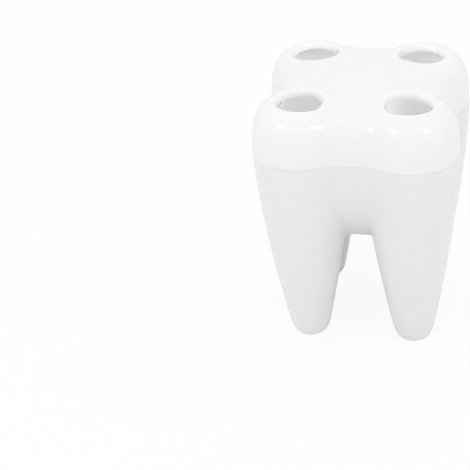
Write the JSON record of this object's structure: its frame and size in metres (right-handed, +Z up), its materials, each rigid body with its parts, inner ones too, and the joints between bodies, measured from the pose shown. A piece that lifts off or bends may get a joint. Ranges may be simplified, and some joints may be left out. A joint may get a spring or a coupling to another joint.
{
  "type": "toothbrush holder",
  "caption": "Free-standing toothbrush holder shaped like a molar: a hollow root body on tapered legs under a lift-off crown lid with rounded oval holes for the handles.",
  "frame": {"origin": "centre of the object on the plane of its soles", "axes": "+Z up through the middle of the crown, -Y towards the front, +X to the right seen from the front"},
  "size_m": [0.0744, 0.0736, 0.0997],
  "materials": {
    "root_plastic": "gloss",
    "crown_plastic": "gloss"
  },
  "bodies": {
    "body": {"root_body": "root_plastic"},
    "lid": {"crown_lid": "crown_plastic"}
  },
  "joints": [
    {"name": "lid_lift", "type": "slide", "parent": "body", "child": "lid", "axis": [0, 0, 1], "range_m": [0, 0.015]}
  ]
}
